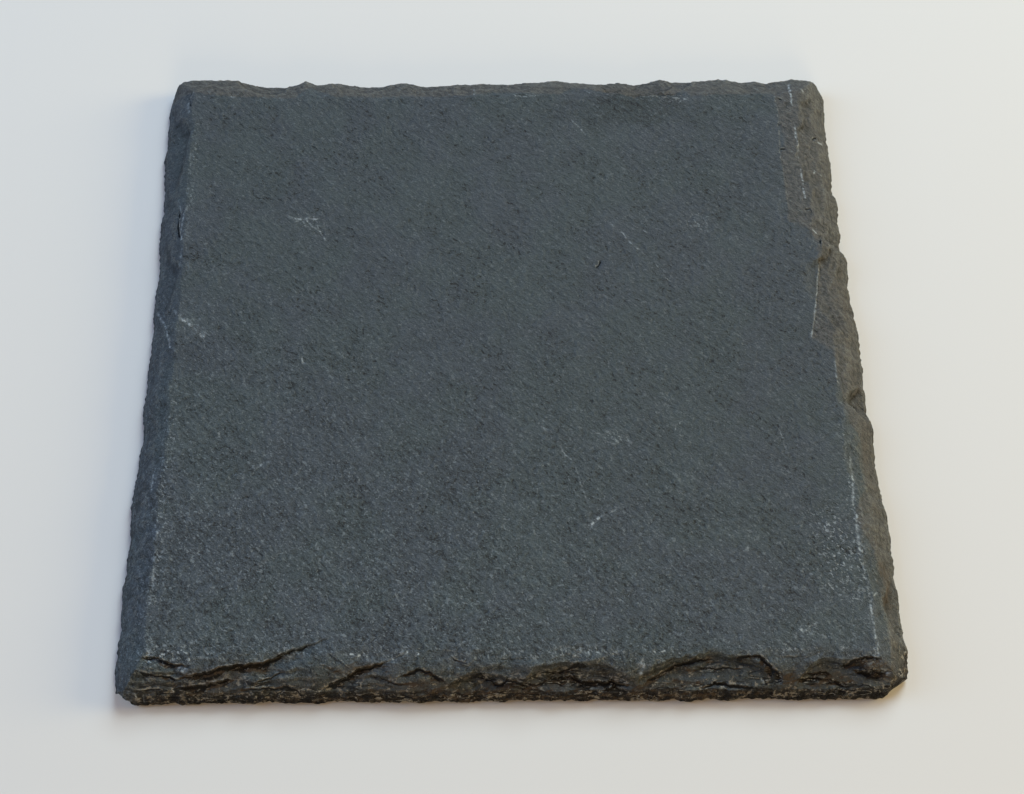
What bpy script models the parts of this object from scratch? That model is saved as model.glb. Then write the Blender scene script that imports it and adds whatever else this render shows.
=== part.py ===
"""A square slab of natural slate, split flat on top and hand-chipped along its four edges.

The slab lies flat: +Z is up, -Y is its front edge, and the origin is at the middle of its underside.
The whole upper surface is one height field over the chipped outline of the base. It is made of a flat
split face, a sloping bevel along each edge, flakes knocked out of the bevels, and ledges where one
layer of the stone has come off and the next one shows. Lengths inside the script are in millimetres.
"""
import bpy
import bmesh
import numpy as np
from mathutils import Vector
from mathutils.geometry import delaunay_2d_cdt

MM = 0.001                # metres in a millimetre
SIDE = 100.0              # width and depth of the base
HALF = SIDE / 2
THICK = 5.0               # underside to the split top face
RIM = 0.45                # least height of the broken outer rim
UNDERCUT = 0.35           # how far the underside stands back from the rim

SHEET_TRIANGLES = 7500    # triangles kept for the upper surface
OUTLINE_STEP = 0.35       # spacing of the points along the outline
BAND = 9.5                # width of the worked band along the edges
BAND_STEP = 0.35          # spacing of the points in that band
FACE_STEP = 1.6           # spacing of the points on the split face

# Each edge: "proud" is how far the base stands out from its nominal straight line, as (place along the
# edge, millimetres out); "bevel" is the slope up to the split face, as (distance in, height); "rough" is
# how strongly the layers of the stone show as steps, from 0 to 1; "wall" is how steeply the ground rises
# behind a flake.
EDGES = {
    "front": {
        "proud": [(-50, -0.2), (-44, -0.2), (-38, -0.3), (-30, -0.2), (-22, -0.3), (-12, 0.0), (-2, -0.1),
                  (6, 0.0), (14, -0.05), (22, 0.2), (31, 0.1), (40, 0.3), (50, 0.3)],
        "bevel": [(0, 0.5), (0.25, 1.5), (0.75, 2.5), (2.0, 3.75), (3.3, 4.6), (4.9, 5.0)],
        "rough": 0.5,
        "wall": 4.5,
    },
    "right": {
        "proud": [(-50, -0.3), (-47, -0.1), (-44, 0.3), (-40, -0.1), (-36, 0.25), (-33.7, -0.1), (-31, 0.3),
                  (-26, 0.3), (-22, 0.05), (-17.5, -0.2), (-11, 0.25), (-9.7, 0.1), (-9, -0.3), (-4, -0.1),
                  (0, 0.1), (4.3, 0.3), (7, 0.0), (12.5, -0.3), (17, 0.3), (18, 0.0), (18.7, -0.6),
                  (23, -0.2), (28.4, 0.05), (28.8, -0.45), (34, -0.1), (42, -0.05), (46, 0.3), (50, 0.4)],
        "bevel": [(0, 0.6), (0.4, 1.6), (2.8, 4.1), (4.75, 5.0)],
        "rough": 0.3,
        "wall": 3.0,
    },
    "back": {
        "proud": [(-50, 0.5), (-44, 0.95), (-40, 0.85), (-37.5, -0.05), (-34, -0.3), (-31, -0.1),
                  (-29.7, 0.55), (-28, -0.1), (-24.7, 0.3), (-22, -0.05), (-18.2, -0.25), (-15, 0.2),
                  (-11.3, -0.45), (-5, -0.05), (-3, 0.1), (1, -0.2), (4.7, 0.1), (8.8, 0.65),
                  (12.3, 0.05), (16, -0.2), (18.2, 0.3), (20.7, -0.2), (24.8, 0.8), (28.3, 0.55),
                  (31.7, 0.5), (35, 0.9), (37.3, 0.1), (39.5, 0.4), (41, -0.25), (45, 0.6), (50, 0.3)],
        "bevel": [(0, 0.9), (0.2, 2.4), (0.6, 3.4), (2.2, 4.15), (4.6, 5.0)],
        "rough": 0.3,
        "wall": 3.0,
    },
    "left": {
        "proud": [(-50, -0.4), (-47, -0.2), (-42, 0.05), (-40, -0.2), (-36, -0.05), (-33.7, 0.15),
                  (-31, -0.15), (-27, -0.2), (-23, 0.05), (-20, 0.15), (-18, -0.15), (-11, -0.5),
                  (-8, -0.15), (0, -0.25), (5, -0.45), (8, -0.2), (13, -0.2), (16.4, -0.45), (20, 0.05),
                  (24, 0.1), (27, -0.05), (31, 0.15), (34.7, 0.5), (36.7, 0.7), (39, 0.3), (41.3, 0.5),
                  (48, 0.5), (50, 0.4)],
        "bevel": [(0, 0.6), (0.5, 1.7), (2.4, 3.9), (4.1, 5.0)],
        "rough": 0.1,
        "wall": 1.2,
    },
}

# Broken corners of the base, walked counter-clockwise, and how they slope up to the split face.
CORNERS = [
    ((46.5, -50.2), (49.7, -47.7)),
    ((50.4, 47.9), (48.7, 50.25)),
    ((-49.3, 50.5), (-50.3, 48.2)),
    ((-49.6, -48.45), (-47.0, -49.85)),
]
CORNER_BEVEL = [(0, 0.9), (0.3, 2.6), (1.0, 4.0), (2.4, 5.0)]

# Flakes knocked out of an edge: (edge, middle, half width, reach in, height of the floor, slope of the
# floor). Each leaves a rounded bite with a flat layer of stone for a floor and a steep wall behind it.
FLAKES = [
    ("front", 24.7, 10.2, 4.35, 2.2, 0.28),
    ("front", 8.0, 8.0, 3.5, 1.9, 0.38),
    ("front", 40.6, 6.2, 3.5, 2.0, 0.40),
    ("front", -4.6, 4.8, 2.3, 1.8, 0.45),
    ("right", 9.5, 8.6, 6.6, 2.9, 0.22),
    ("right", 34.5, 13.0, 5.6, 2.6, 0.32),
    ("right", -8.5, 3.0, 2.6, 1.3, 0.30),
    ("right", -39.0, 4.5, 2.4, 1.3, 0.35),
    ("back", 27.7, 2.2, 3.2, 2.5, 0.30),
    ("back", 21.5, 6.5, 4.3, 3.0, 0.20),
    ("back", -36.0, 4.0, 3.6, 2.4, 0.35),
    ("back", -21.5, 4.5, 3.4, 2.6, 0.35),
    ("left", 36.0, 7.6, 3.9, 1.4, 0.60),
    ("left", 12.0, 5.5, 3.4, 1.3, 0.65),
]

# Ledges, where a layer breaks off: (drop, reach of the drop, path). A path is walked counter-clockwise
# round the slab, so the ground falls away on its right.
LEDGES = [
    (1.00, 2.4, [(-43.4, -48.3), (-41, -47.6), (-38.5, -47.2), (-36, -46.5), (-31.3, -46.0), (-28, -44.7),
                 (-22.2, -42.8)]),
    (0.90, 1.5, [(-46.9, -45.1), (-44, -45.4), (-42.3, -46.0), (-39.8, -46.5)]),
    (0.70, 1.2, [(-46.9, -46.7), (-44.8, -47.3), (-42.5, -47.4), (-41.2, -48.3)]),
    (0.50, 0.8, [(-46.2, -48.8), (-44, -48.5), (-42.8, -48.9)]),
    (0.80, 1.2, [(-42.3, -48.5), (-38, -48.2), (-35.5, -47.7), (-34.2, -47.9)]),
    (0.60, 0.8, [(-34.5, -48.8), (-28, -48.5), (-25, -49.6)]),
    (0.55, 0.9, [(-32.4, -48.4), (-29, -47.1), (-28.2, -47.2)]),
    (0.45, 0.7, [(-23.2, -44.9), (-20.3, -46.9)]),
    (0.40, 0.6, [(-23.9, -46.4), (-21.2, -47.4)]),
    (0.95, 1.5, [(-24.4, -49.0), (-21, -47.6), (-19, -46.7), (-17, -46.5), (-15.2, -45.9)]),
    (0.55, 0.8, [(-18.4, -47.3), (-16, -47.9), (-14.3, -48.6), (-12.2, -48.4)]),
    (0.75, 1.1, [(-15.0, -48.0), (-12, -47.0), (-10.5, -47.3), (-7.7, -48.8)]),
    (0.45, 0.7, [(-8.1, -45.6), (-5.2, -46.8)]),
    (0.70, 1.0, [(-6.3, -47.9), (-4.2, -47.4), (-2, -48.4), (0, -48.3), (2.9, -49.1)]),
    (0.35, 0.9, [(-3.4, -46.0), (3.6, -46.1)]),
    (0.60, 1.0, [(3.2, -47.5), (8, -46.5), (10.2, -46.9)]),
    (0.95, 1.1, [(4.6, -48.2), (7, -47.6), (8.8, -48.3), (12, -48.3), (15.4, -49.2)]),
    (0.55, 1.4, [(22.0, -46.9), (26, -47.0), (29.5, -47.2)]),
    (0.70, 0.7, [(22.4, -49.6), (25, -48.6), (27.5, -48.9), (31.4, -49.5)]),
    (0.35, 1.2, [(32.0, -46.1), (36, -46.3), (38, -45.7)]),
    (0.70, 0.9, [(34.6, -48.9), (36, -48.3), (38, -48.3), (42.5, -49.1)]),
    (0.55, 0.8, [(36.1, -47.9), (38.5, -47.6), (40, -48.2)]),
    (0.75, 1.4, [(40.1, -47.4), (43, -46.4), (46.2, -46.5)]),
    (0.90, 1.0, [(42.0, -47.4), (44, -47.8), (47.2, -47.9)]),
    (0.35, 4.0, [(41.8, 20.6), (41.5, 34), (42.0, 42), (41.8, 50)]),
    (0.45, 2.4, [(42.3, 0.6), (43.6, 6), (45, 13), (45.6, 17)]),
    (0.75, 1.6, [(49.4, 17.2), (48.2, 18.3), (47.0, 17.6), (45.8, 18.2), (45.4, 16.6)]),
    (0.55, 0.9, [(46.8, -11.2), (47.9, -9.0), (47.4, -7.8)]),
    (0.40, 1.1, [(29.5, 44.9), (24, 45.3), (17, 45.9), (13, 46.8)]),
    (0.55, 0.7, [(0.2, 45.2), (-1.5, 46.1), (-3.0, 45.9)]),
    (0.80, 1.0, [(-46.4, 25.2), (-46.8, 22.8), (-46.6, 20.8), (-46.0, 18.4)]),
    (0.35, 1.2, [(-46.1, 9.0), (-47.0, 4.3), (-46.2, 0.0)]),
    (0.65, 1.2, [(-46.0, 47.4), (-46.9, 45.6), (-46.3, 43.2)]),
]
TRENCH = 0.45             # extra depth in the crack at a ledge's foot, as a share of the drop
LEDGE_WALL = 0.16         # run of a ledge's broken face
ARCH = 1.6                # rim of a flake's bite: 2 makes it an ellipse, 1 a gable

LAYERS = [0.0, 0.5, 0.95, 1.5, 1.9, 2.5, 3.1, 3.9, 4.6, 5.0, 5.8]   # heights of the cleavage planes

# Unevenness that runs all over the stone: (height, size of the lumps).
RIM_LUMPS = (0.16, 2.6)
RIM_SCALLOPS = (0.22, 1.3)
CORNER_LUMPS = (0.25, 2.2)
FACE_SWELLS = [(0.12, 26.0), (0.05, 7.0)]
COARSE_SPLINTERS = (0.12, 1.5)
FINE_SPLINTERS = (0.05, 0.62)
GRAIN_STRETCH = 3.2       # how much longer than wide the splinters are


def noise(x, y, size, seed):
    """Smooth gradient noise, about -1 to 1, with lumps of the given size."""
    u = np.asarray(x, float) / size
    v = np.asarray(y, float) / size
    i = np.floor(u)
    j = np.floor(v)
    fu = u - i
    fv = v - j
    total = 0.0
    for di in (0, 1):
        for dj in (0, 1):
            key = (i + di).astype(np.int64) * 374761393 + (j + dj).astype(np.int64) * 668265263
            key = (key + seed * 974711) & 0xFFFFFFFF
            key = ((key ^ (key >> 13)) * 1274126177) & 0xFFFFFFFF
            angle = ((key ^ (key >> 16)) & 0xFFFF) * (2 * np.pi / 65536)
            gu = fu - di
            gv = fv - dj
            fade = (1 - smooth(np.abs(gu))) * (1 - smooth(np.abs(gv)))
            total = total + fade * (np.cos(angle) * gu + np.sin(angle) * gv)
    return total * 1.6


def smooth(t):
    """Ease from 0 to 1."""
    t = np.clip(t, 0.0, 1.0)
    return t * t * (3 - 2 * t)


def table(points, t):
    """Read a hand-made list of (place, value) points at t."""
    places, values = zip(*points)
    return np.interp(t, places, values)


def along_and_in(edge, x, y):
    """Place along an edge, and distance in from its nominal straight line."""
    if edge == "front":
        return x, HALF + y
    if edge == "right":
        return y, HALF - x
    if edge == "back":
        return x, HALF - y
    return y, HALF + x


def proud(edge, s):
    """How far the base stands out from the nominal line: hand-set bumps with broken scallops on them."""
    seed = 11 + len(edge)
    lump, lump_size = RIM_LUMPS
    scallop, scallop_size = RIM_SCALLOPS
    lumps = lump * noise(s, 0 * s, lump_size, seed)
    scallops = scallop * np.abs(noise(s, 0 * s, scallop_size, seed + 7))
    return table(EDGES[edge]["proud"], s) + lumps - scallops


def inside(edge, x, y):
    """Place along an edge, and distance in from the ragged base line."""
    s, d = along_and_in(edge, x, y)
    return s, d + proud(edge, s)


def corner_lumps(x, y):
    """How far a broken corner stands out from its straight line."""
    height, size = CORNER_LUMPS
    return height * noise(x, y, size, 31)


def inside_corner(corner, x, y):
    """Distance in from a broken corner."""
    (ax, ay), (bx, by) = corner
    length = np.hypot(bx - ax, by - ay)
    return ((by - ay) * (ax - x) + (bx - ax) * (y - ay)) / length + corner_lumps(x, y)


def bevel_height(edge, x, y):
    """Slope of one edge, from the rim up past the split face."""
    s, d = inside(edge, x, y)
    width = 1 + 0.12 * noise(s, 0 * s, 9.0, 41) + 0.06 * noise(x, y, 3.0, 43)
    z = table(EDGES[edge]["bevel"], d / width)
    return np.where(z >= THICK, THICK + 1, z)


def flake_height(flake, x, y):
    """Bite of one flake: a layer for a floor, a wall rising behind it."""
    edge, middle, half, reach, floor, slope = flake
    s, d = inside(edge, x, y)
    ragged = 1 + 0.15 * noise(x, y, 3.0, 53) + 0.04 * noise(x, y, 1.0, 57)
    ring = (np.abs((s - middle) / half) ** ARCH + np.abs(d / reach) ** ARCH) ** (1 / ARCH) * ragged
    bowl = 0.35 * np.minimum(ring, 1) ** 2
    return floor + slope * d + bowl + EDGES[edge]["wall"] * reach * np.maximum(ring - 1, 0)


def ledge_drop(ledge, x, y):
    """Ground taken away on the right of a ledge's path."""
    drop, reach, path = ledge
    best = np.full(x.shape, 1e9)
    signed = np.zeros(x.shape)
    place = np.zeros(x.shape)
    lengths = [np.hypot(bx - ax, by - ay) for (ax, ay), (bx, by) in zip(path, path[1:])]
    total = sum(lengths)
    done = 0.0
    for (ax, ay), (bx, by), length in zip(path, path[1:], lengths):
        ux = (bx - ax) / length
        uy = (by - ay) / length
        t = np.clip((x - ax) * ux + (y - ay) * uy, 0, length)
        away = np.hypot(x - ax - t * ux, y - ay - t * uy)
        right = (x - ax) * uy - (y - ay) * ux
        nearer = away < best
        best = np.where(nearer, away, best)
        signed = np.where(nearer, np.where(right > 0, away, -away), signed)
        place = np.where(nearer, (done + t) / total, place)
        done += length
    signed = signed + 0.12 * noise(x, y, 0.9, 61)
    ends = smooth(place / 0.22) * smooth((1 - place) / 0.22)
    wall = smooth(signed / LEDGE_WALL)
    crack = TRENCH * wall * (1 - smooth((signed - LEDGE_WALL) / (2 * LEDGE_WALL)))
    return drop * ends * (wall * (1 - smooth((signed - LEDGE_WALL) / reach)) + crack)


def splinters(x, y):
    """Sharp-crested grain that runs through the stone from back left to front right."""
    along = (y - x) / np.sqrt(2)
    across = (y + x) / np.sqrt(2)
    total = 0.0
    for (height, size), seed in ((COARSE_SPLINTERS, 91), (FINE_SPLINTERS, 93)):
        crests = 1 - 2.4 * np.abs(noise(along / GRAIN_STRETCH, across, size, seed))
        total = total + height * crests
    return total


def layered(z, x, y, strength):
    """Pull a slope into the flat treads and steep walls of the stone's layers."""
    wander = 0.55 * noise(x, y, 6.5, 71) + 0.16 * noise(x, y, 1.8, 73)
    level = z + wander
    layers = np.array(LAYERS)
    k = np.clip(np.searchsorted(layers, level) - 1, 0, len(layers) - 2)
    low = layers[k]
    high = layers[k + 1]
    part = (level - low) / (high - low)
    stepped = low + (high - low) * smooth((part - 0.35) / 0.3)
    return z + strength * (stepped - level)


def relief(x, y):
    """Height of the slab's upper surface."""
    z = np.full(x.shape, THICK)
    rough = np.zeros(x.shape)
    for edge, shape in EDGES.items():
        slope = bevel_height(edge, x, y)
        rough = np.where(slope < z, shape["rough"], rough)
        z = np.minimum(z, slope)
    for corner in CORNERS:
        z = np.minimum(z, table(CORNER_BEVEL, inside_corner(corner, x, y)))
    for flake in FLAKES:
        z = np.minimum(z, flake_height(flake, x, y))
    broken = smooth((THICK - z) / 0.5)
    patchy = smooth(0.5 + 1.2 * noise(x, y, 5.0, 75))
    z = layered(z, x, y, rough * broken * patchy) + broken * splinters(x, y)
    for ledge in LEDGES:
        z = z - ledge_drop(ledge, x, y)
    for k, (height, size) in enumerate(FACE_SWELLS):
        z = z + height * noise(x, y, size, 81 + 2 * k)
    return np.maximum(z, RIM + 0.2 * noise(x, y, 3.0, 87))


def run(start, end, step):
    """Evenly spaced places from start up to, but not on, end."""
    return np.linspace(start, end, round(abs(end - start) / step), endpoint=False)


def outline():
    """Chipped outline of the base, walked counter-clockwise from the front left corner."""
    front_right, back_right, back_left, front_left = CORNERS
    parts = []
    for edge, before, after in (("front", front_left, front_right), ("right", front_right, back_right),
                                ("back", back_right, back_left), ("left", back_left, front_left)):
        axis = 0 if edge in ("front", "back") else 1
        s = run(before[1][axis], after[0][axis], OUTLINE_STEP)
        out = HALF + proud(edge, s)
        x, y = {"front": (s, -out), "right": (out, s), "back": (s, out), "left": (-out, s)}[edge]
        parts.append(np.column_stack((x, y)))
        parts.append(broken_corner(after))
    return np.vstack(parts)


def broken_corner(corner):
    """Ragged line across a corner."""
    start = np.array(corner[0])
    end = np.array(corner[1])
    length = np.hypot(*(end - start))
    ahead = (end - start) / length
    outward = np.array((ahead[1], -ahead[0]))
    line = start + run(0, length, OUTLINE_STEP)[1:, None] * ahead
    return line + corner_lumps(*line.T)[:, None] * outward


def clear_of_outline(x, y):
    """Distance in from the nearest part of the outline."""
    near = [inside(edge, x, y)[1] for edge in EDGES]
    near += [inside_corner(corner, x, y) for corner in CORNERS]
    return np.min(near, axis=0)


def scattered(step, nearest, farthest, rng):
    """Slightly uneven grid of points that lie between two distances from the outline."""
    places = np.arange(-HALF - 1, HALF + 1, step)
    x, y = (g.ravel() for g in np.meshgrid(places, places))
    x = x + rng.uniform(-0.25, 0.25, x.size) * step
    y = y + rng.uniform(-0.25, 0.25, y.size) * step
    d = clear_of_outline(x, y)
    keep = (d > nearest) & (d <= farthest)
    return np.column_stack((x[keep], y[keep]))


def relief_sheet():
    """Open mesh of the upper surface, finest along the edges."""
    rng = np.random.default_rng(7)
    rim = outline()
    band = scattered(BAND_STEP, 0.6 * BAND_STEP, BAND, rng)
    face = scattered(FACE_STEP, BAND, SIDE, rng)
    flat = [Vector(p) for p in np.vstack((rim, band, face))]
    loop = [(i, (i + 1) % len(rim)) for i in range(len(rim))]
    flat, _, faces, *_ = delaunay_2d_cdt(flat, loop, [], 1, 1e-6)
    x, y = np.array(flat).T
    mesh = bpy.data.meshes.new("relief")
    mesh.from_pydata(np.column_stack((x, y, relief(x, y))) * MM, [], faces)
    return mesh


def thinned(mesh, triangles):
    """The same surface with fewer triangles, kept where the stone is broken."""
    sheet = bpy.data.objects.new("sheet", mesh)
    bpy.context.scene.collection.objects.link(sheet)
    decimate = sheet.modifiers.new("thin", "DECIMATE")
    decimate.ratio = triangles / len(mesh.polygons)
    result = bpy.data.meshes.new_from_object(sheet.evaluated_get(bpy.context.evaluated_depsgraph_get()))
    bpy.data.objects.remove(sheet)
    return result


def close_below(mesh):
    """Wall the sheet down to a flat underside that stands back under the rim."""
    bm = bmesh.new()
    bm.from_mesh(mesh)
    border = [e for e in bm.edges if e.is_boundary]
    wall = bmesh.ops.extrude_edge_only(bm, edges=border)["geom"]
    foot = [v for v in wall if isinstance(v, bmesh.types.BMVert)]
    shrink = 1 - UNDERCUT / HALF
    for v in foot:
        v.co = (v.co.x * shrink, v.co.y * shrink, 0.0)
    bmesh.ops.edgeloop_fill(bm, edges=[e for e in bm.edges if e.is_boundary])
    bmesh.ops.recalc_face_normals(bm, faces=bm.faces)
    bmesh.ops.triangulate(bm, faces=bm.faces)
    bm.to_mesh(mesh)
    bm.free()


def centre(mesh):
    """Put the origin at the middle of the underside's box."""
    xy = np.array([v.co[:2] for v in mesh.vertices])
    middle = (xy.min(axis=0) + xy.max(axis=0)) / 2
    for v in mesh.vertices:
        v.co.x -= middle[0]
        v.co.y -= middle[1]


def slate_material():
    """Dark blue-grey slate with a dull, slightly silky surface."""
    material = bpy.data.materials.new("slate")
    material.use_nodes = True
    shader = material.node_tree.nodes["Principled BSDF"]
    shader.inputs["Base Color"].default_value = (0.060, 0.072, 0.080, 1)
    shader.inputs["Roughness"].default_value = 0.72
    shader.inputs["Metallic"].default_value = 0.0
    return material


def build():
    for obj in list(bpy.data.objects):
        bpy.data.objects.remove(obj)
    mesh = thinned(relief_sheet(), SHEET_TRIANGLES)
    close_below(mesh)
    centre(mesh)
    mesh.materials.append(slate_material())
    slab = bpy.data.objects.new("slate_slab", mesh)
    bpy.context.scene.collection.objects.link(slab)


build()
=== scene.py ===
"""Looks of the slate slab: its broken surface, the stone's finish, the light and the camera.

One fine mesh stands for the CAD solid. It is worked out in millimetres and follows the solid's edges,
flakes and ledges, with splinters, cracks and scuffs added. Its points carry masks for the material.
"""
import math
import bpy
import bmesh
import numpy as np
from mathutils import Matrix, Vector
from mathutils.geometry import delaunay_2d_cdt


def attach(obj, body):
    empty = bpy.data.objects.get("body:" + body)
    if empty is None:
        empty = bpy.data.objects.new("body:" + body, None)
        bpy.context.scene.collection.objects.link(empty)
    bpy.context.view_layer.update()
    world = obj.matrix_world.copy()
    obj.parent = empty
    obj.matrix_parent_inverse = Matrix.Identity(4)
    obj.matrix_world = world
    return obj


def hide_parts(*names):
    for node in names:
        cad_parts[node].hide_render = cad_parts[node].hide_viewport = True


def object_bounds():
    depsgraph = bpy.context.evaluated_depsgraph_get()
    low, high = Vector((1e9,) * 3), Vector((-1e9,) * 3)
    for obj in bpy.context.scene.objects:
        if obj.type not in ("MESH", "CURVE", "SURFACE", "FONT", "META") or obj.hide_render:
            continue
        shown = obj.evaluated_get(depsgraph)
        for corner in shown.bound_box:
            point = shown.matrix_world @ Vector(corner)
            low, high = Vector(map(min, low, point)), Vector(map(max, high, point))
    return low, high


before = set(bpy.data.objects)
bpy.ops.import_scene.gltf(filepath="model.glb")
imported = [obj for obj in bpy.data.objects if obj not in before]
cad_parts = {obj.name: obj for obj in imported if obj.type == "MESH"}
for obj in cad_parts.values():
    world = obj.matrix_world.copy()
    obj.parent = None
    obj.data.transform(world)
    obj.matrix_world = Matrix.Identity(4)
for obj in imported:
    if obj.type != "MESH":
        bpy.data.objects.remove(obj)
cad_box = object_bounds()

NODE = "slate_slab"
MM = 0.001  # metres in a millimetre
SIDE = 100.0  # width and depth of the base
HALF = SIDE / 2
THICK = 5.0  # underside to the split top face
RIM = 0.45  # least height of the broken outer rim
UNDERCUT = 0.35  # how far the underside stands back from the rim

# Spacing of the mesh's points.
LINE_ROWS = (-0.26, -0.14, -0.05, 0.0, 0.06, 0.14, 0.24, 0.36)  # rows beside a ledge, rim or scratch
LINE_STEP = 0.12  # along those rows
LINE_REACH = 0.22  # how far the other points keep from those rows
ROW_GAP = 0.05  # least gap between those points, and to the outline
OUTLINE_STEP = 0.15  # along the outline
BELOW_STEP = 2.0  # on the underside
FRONT_BAND = 5.2  # width of the front's zones
EDGE_BAND = 5.6  # width of the bevels' zones
WALL_BAND = 0.8  # width of the rims' zones
# The other points lie in zones: (spacing across, spacing in depth, how far back they go).
ZONES = {
    "front rim": (0.12, 0.07, 2 - HALF),
    "rim": (0.15, 0.15, HALF + 1),
    "front bevel": (0.15, 0.15, HALF + 1),
    "bevel": (0.3, 0.3, HALF + 1),
    "face": (0.95, 0.95, HALF + 1),
}
CRISP_BELOW = -44.8  # in front of this, the broken stone has sharp little facets
TORN_BELOW = -44.2  # in front of this, it is torn into fibres
TORN_FROM = (-47.6, -49.5)  # where that begins on the left
FOOT_TOP = 2.6  # top of the brown band along the front's foot

# Each edge: "proud" is how far the base stands out from its nominal line, as (place, distance out);
# "bevel" is the slope up to the split face, as (distance in, height); "rough" is how strongly layers
# show as steps; "wall" is how steep it is behind a flake; "chips" is how deep the small chips are; "line"
# is how dark the painted shade line round a flake is; "crumble" is how far the layers' ragged ends stand
# out.
EDGES = {
    "front": {
        "proud": [
            (-50, -0.2), (-44, -0.2), (-38, -0.3), (-30, -0.2), (-22, -0.3), (-12, 0), (-2, -0.1),
            (6, 0), (14, -0.05), (22, 0.2), (31, 0.1), (40, 0.3), (50, 0.3),
        ],
        "bevel": [(0, 0.5), (0.25, 1.5), (0.75, 2.5), (2, 3.75), (3.3, 4.6), (4.9, 5)],
        "rough": 0.5, "wall": 4.5, "chips": 0.45, "line": 0.35, "crumble": 1,
    },
    "right": {
        "proud": [
            (-50, -0.3), (-47, -0.1), (-44, 0.3), (-40, -0.1), (-36, 0.25), (-33.7, -0.1), (-31, 0.3),
            (-26, 0.3), (-22, 0.05), (-17.5, -0.2), (-11, 0.25), (-9.7, 0.1), (-9, -0.3), (-4, -0.1),
            (0, 0.1), (4.3, 0.3), (7, 0), (12.5, -0.3), (17, 0.3), (18, 0), (18.7, -0.6), (23, -0.2),
            (28.4, 0.05), (28.8, -0.45), (34, -0.1), (42, -0.05), (46, 0.3), (50, 0.4),
        ],
        "bevel": [(0, 0.6), (0.4, 1.6), (2.8, 4.1), (4.75, 5)],
        "rough": 0.3, "wall": 3, "chips": 0.2, "line": 0, "crumble": 0.6,
    },
    "back": {
        "proud": [
            (-50, 0.5), (-44, 0.95), (-40, 0.85), (-37.5, -0.05), (-34, -0.3), (-31, -0.1), (-29.7, 0.55),
            (-28, -0.1), (-24.7, 0.3), (-22, -0.05), (-18.2, -0.25), (-15, 0.2), (-11.3, -0.45),
            (-5, -0.05), (-3, 0.1), (1, -0.2), (4.7, 0.1), (8.8, 0.65), (12.3, 0.05), (16, -0.2),
            (18.2, 0.3), (20.7, -0.2), (24.8, 0.8), (28.3, 0.55), (31.7, 0.5), (35, 0.9), (37.3, 0.1),
            (39.5, 0.4), (41, -0.25), (45, 0.6), (50, 0.3),
        ],
        "bevel": [(0, 0.9), (0.2, 2.4), (0.6, 3.4), (2.2, 4.15), (4.6, 5)],
        "rough": 0.3, "wall": 3, "chips": 0.22, "line": 0, "crumble": 0.5,
    },
    "left": {
        "proud": [
            (-50, -0.4), (-47, -0.2), (-42, 0.05), (-40, -0.2), (-36, -0.05), (-33.7, 0.15), (-31, -0.15),
            (-27, -0.2), (-23, 0.05), (-20, 0.15), (-18, -0.15), (-11, -0.5), (-8, -0.15), (0, -0.25),
            (5, -0.45), (8, -0.2), (13, -0.2), (16.4, -0.45), (20, 0.05), (24, 0.1), (27, -0.05),
            (31, 0.15), (34.7, 0.5), (36.7, 0.7), (39, 0.3), (41.3, 0.5), (48, 0.5), (50, 0.4),
        ],
        "bevel": [(0, 0.6), (0.5, 1.7), (2.4, 3.9), (4.1, 5)],
        "rough": 0.1, "wall": 1.2, "chips": 0.05, "line": 0, "crumble": 0.25,
    },
}
INWARD = {"front": (0, 1), "right": (-1, 0), "back": (0, -1), "left": (1, 0)}  # across each edge

# Broken corners, walked counter-clockwise, and how they slope up to the split face.
CORNERS = [
    ((46.5, -50.2), (49.7, -47.7)),
    ((50.4, 47.9), (48.7, 50.25)),
    ((-49.3, 50.5), (-50.3, 48.2)),
    ((-49.6, -48.45), (-47, -49.85)),
]
CORNER_BEVEL = [(0, 0.9), (0.3, 2.6), (1, 4), (2.4, 5)]

# Flakes knocked out of an edge, each leaving a rounded bite with a floor and a steep wall: (edge, middle,
# half width, reach in, floor's height, floor's slope).
FLAKES = [
    ("front", 24.7, 10.2, 4.35, 2.2, 0.28),
    ("front", 8, 8, 3.5, 1.9, 0.38),
    ("front", 40.6, 6.2, 3.5, 2, 0.4),
    ("front", -4.6, 4.8, 2.3, 1.8, 0.45),
    ("right", 9.5, 8.6, 6.6, 2.9, 0.22),
    ("right", 34.5, 13, 5.6, 2.6, 0.32),
    ("right", -8.5, 3, 2.6, 1.3, 0.3),
    ("right", -39, 4.5, 2.4, 1.3, 0.35),
    ("back", 27.7, 2.2, 3.2, 2.5, 0.3),
    ("back", 21.5, 6.5, 4.3, 3, 0.2),
    ("back", -36, 4, 3.6, 2.4, 0.35),
    ("back", -21.5, 4.5, 3.4, 2.6, 0.35),
    ("left", 36, 7.6, 3.9, 1.4, 0.6),
    ("left", 12, 5.5, 3.4, 1.3, 0.65),
]

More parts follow.
